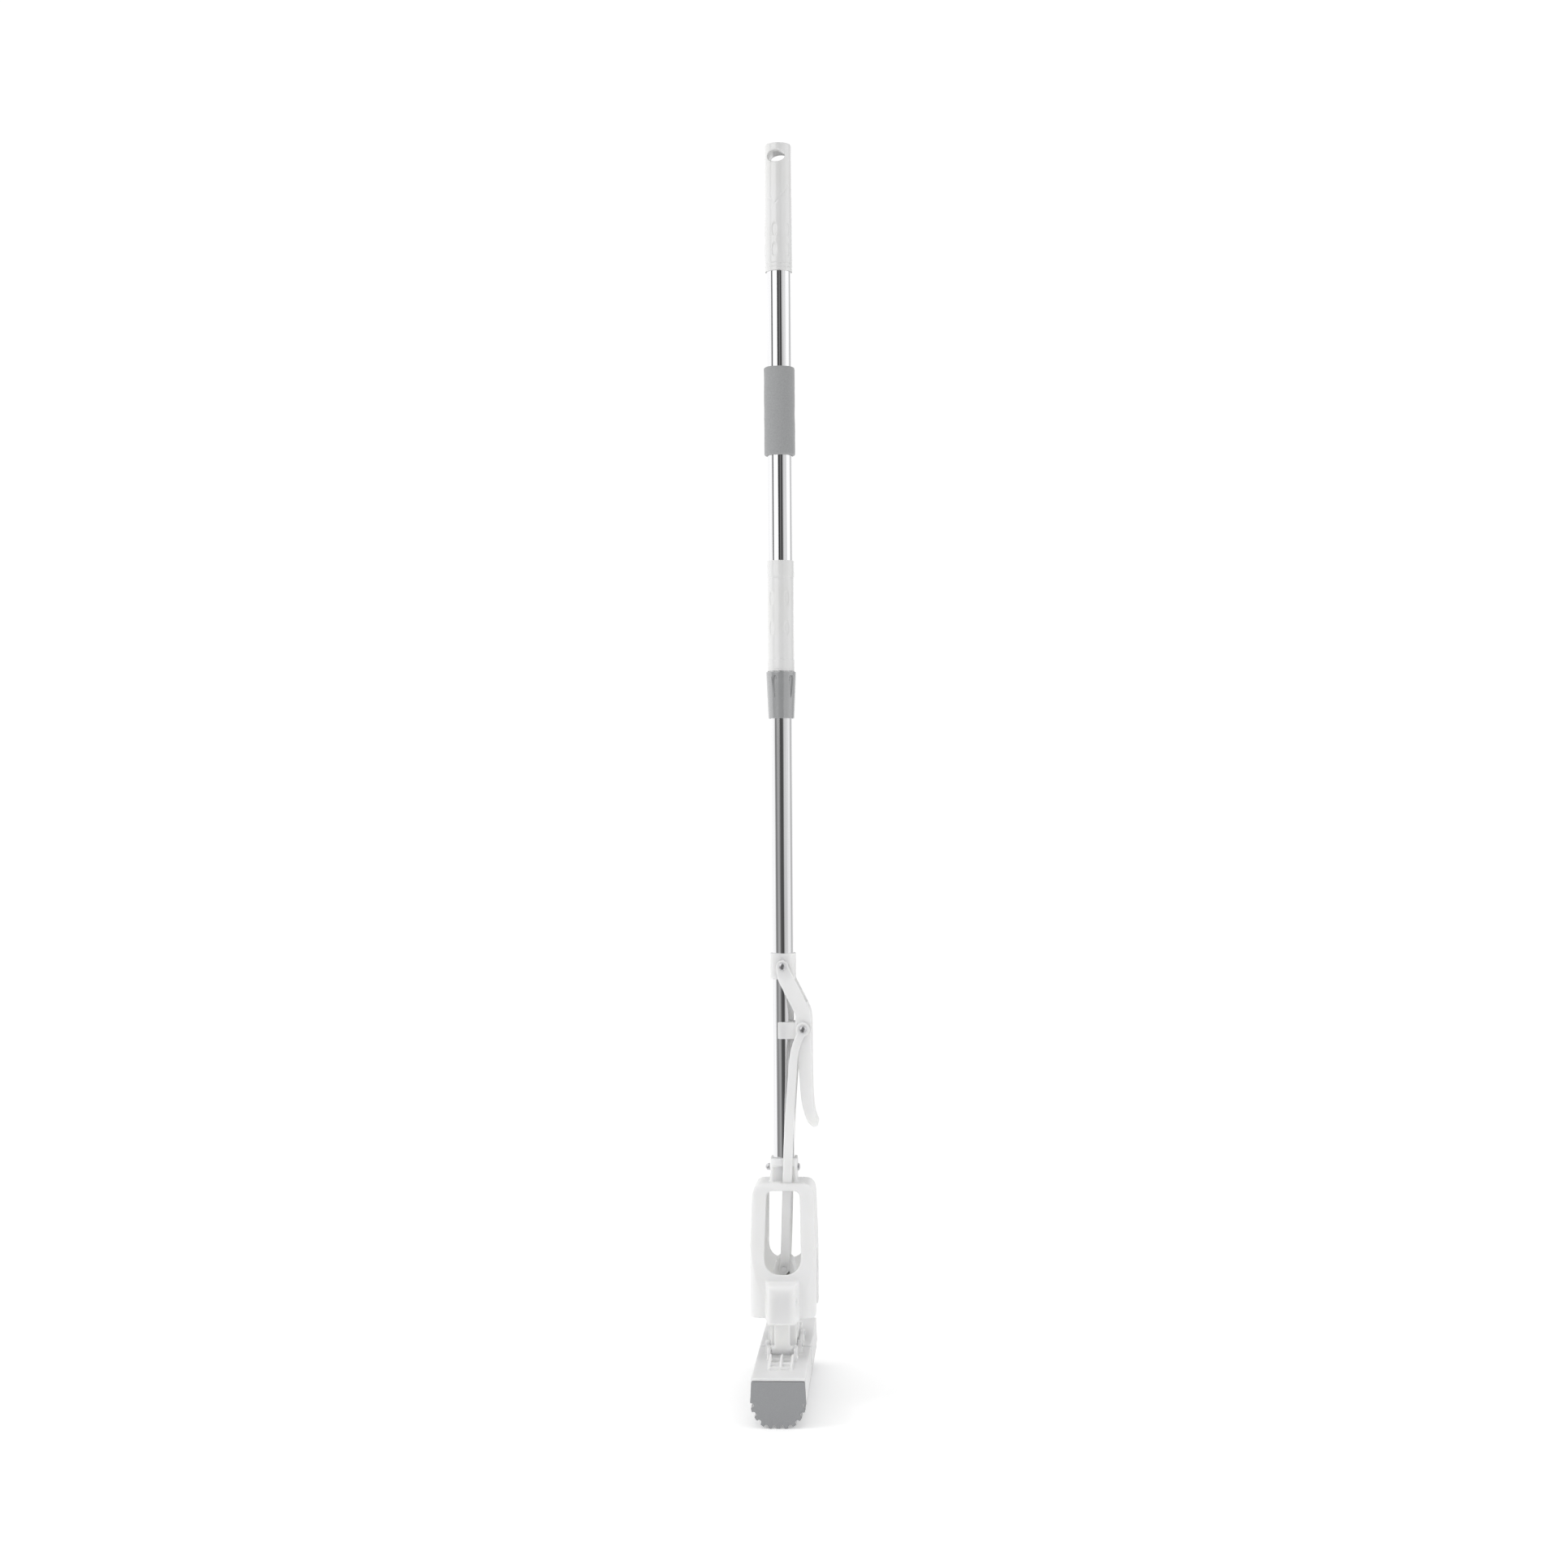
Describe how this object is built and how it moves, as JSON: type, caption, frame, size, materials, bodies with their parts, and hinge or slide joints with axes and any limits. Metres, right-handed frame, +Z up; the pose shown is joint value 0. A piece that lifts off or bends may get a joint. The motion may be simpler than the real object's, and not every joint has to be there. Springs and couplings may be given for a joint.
{
  "type": "folding sponge mop",
  "caption": "Sponge mop with a telescopic steel pole and a pull lever that folds the two halves of its long head down to wring the sponge.",
  "frame": {"origin": "on the floor under the pole's axis, at the middle of the sponge head", "axes": "+X along the sponge head, -Y towards the lever, +Z up the pole"},
  "size_m": [0.27, 0.0697, 1.285],
  "materials": {
    "white_plastic": "satin",
    "grey_plastic": "satin",
    "backing_plastic": "matte",
    "steel_tube": "polished",
    "chrome_hardware": "polished",
    "grey_foam": "matte",
    "grey_sponge": "matte"
  },
  "bodies": {
    "root": {"lower_tube": "steel_tube", "tube_bush": "white_plastic", "lever_collar": "white_plastic", "lever_screw": "chrome_hardware", "lever_nut": "chrome_hardware", "bracket": "white_plastic", "socket_screw": "chrome_hardware", "socket_nut": "chrome_hardware", "left_link_pin": "chrome_hardware", "right_link_pin": "chrome_hardware"},
    "upper_pole": {"upper_tube": "steel_tube", "top_grip": "white_plastic", "foam_sleeve": "grey_foam", "mid_grip": "white_plastic", "collet": "white_plastic"},
    "twist_ring": {"twist_collar": "grey_plastic"},
    "lever_arm": {"lever": "white_plastic", "park_clip": "white_plastic", "crank_screw": "chrome_hardware", "crank_nut": "chrome_hardware"},
    "pull_bars": {"left_pull_bar": "white_plastic", "right_pull_bar": "white_plastic", "lift_pin": "white_plastic"},
    "lift_carriage": {"carriage": "white_plastic", "left_hinge_pin": "chrome_hardware", "right_hinge_pin": "chrome_hardware"},
    "left_half": {"left_plate": "white_plastic", "left_backing": "backing_plastic", "left_sponge": "grey_sponge"},
    "right_half": {"right_plate": "white_plastic", "right_backing": "backing_plastic", "right_sponge": "grey_sponge"},
    "left_link_arm": {"left_link": "white_plastic", "left_foot_pin": "chrome_hardware"},
    "right_link_arm": {"right_link": "white_plastic", "right_foot_pin": "chrome_hardware"}
  },
  "joints": [
    {"name": "telescope", "type": "slide", "parent": "root", "child": "upper_pole", "axis": [0, 0, 1], "range_m": [-0.235, 0.05]},
    {"name": "collar_twist", "type": "hinge", "parent": "upper_pole", "child": "twist_ring", "pos_m": [0, 0, 0.719], "axis": [0, 0, 1], "range_deg": [0, 120]},
    {"name": "lever_swing", "type": "hinge", "parent": "root", "child": "lever_arm", "pos_m": [0, 0, 0.441], "axis": [-1, 0, 0], "range_deg": [0, 47.93]},
    {"name": "bar_pivot", "type": "hinge", "parent": "lever_arm", "child": "pull_bars", "pos_m": [0, -0.0208, 0.377], "axis": [1, 0, 0], "range_deg": [0, 57.75]},
    {"name": "carriage_lift", "type": "slide", "parent": "root", "child": "lift_carriage", "axis": [0, 0, 1], "range_m": [0, 0.04368]},
    {"name": "left_fold", "type": "hinge", "parent": "lift_carriage", "child": "left_half", "pos_m": [-0.025, 0, 0.057], "axis": [0, -1, 0], "range_deg": [0, 90.3], "deforming": ["left_sponge"]},
    {"name": "right_fold", "type": "hinge", "parent": "lift_carriage", "child": "right_half", "pos_m": [0.025, 0, 0.057], "axis": [0, 1, 0], "range_deg": [0, 90.3], "deforming": ["right_sponge"]},
    {"name": "left_link_swing", "type": "hinge", "parent": "root", "child": "left_link_arm", "pos_m": [-0.059, 0, 0.1085], "axis": [0, -1, 0], "range_deg": [0, 38.38]},
    {"name": "right_link_swing", "type": "hinge", "parent": "root", "child": "right_link_arm", "pos_m": [0.059, 0, 0.1085], "axis": [0, 1, 0], "range_deg": [0, 38.38]}
  ],
  "couplings": [
    {"joint": "bar_pivot", "follows": "lever_swing", "ratio": 1.2007},
    {"joint": "carriage_lift", "follows": "lever_swing", "m_per_rad": 0.051976},
    {"joint": "left_fold", "follows": "lever_swing", "ratio": 1.8777},
    {"joint": "right_fold", "follows": "lever_swing", "ratio": 1.8777},
    {"joint": "left_link_swing", "follows": "lever_swing", "ratio": 0.79658},
    {"joint": "right_link_swing", "follows": "lever_swing", "ratio": 0.79658}
  ]
}
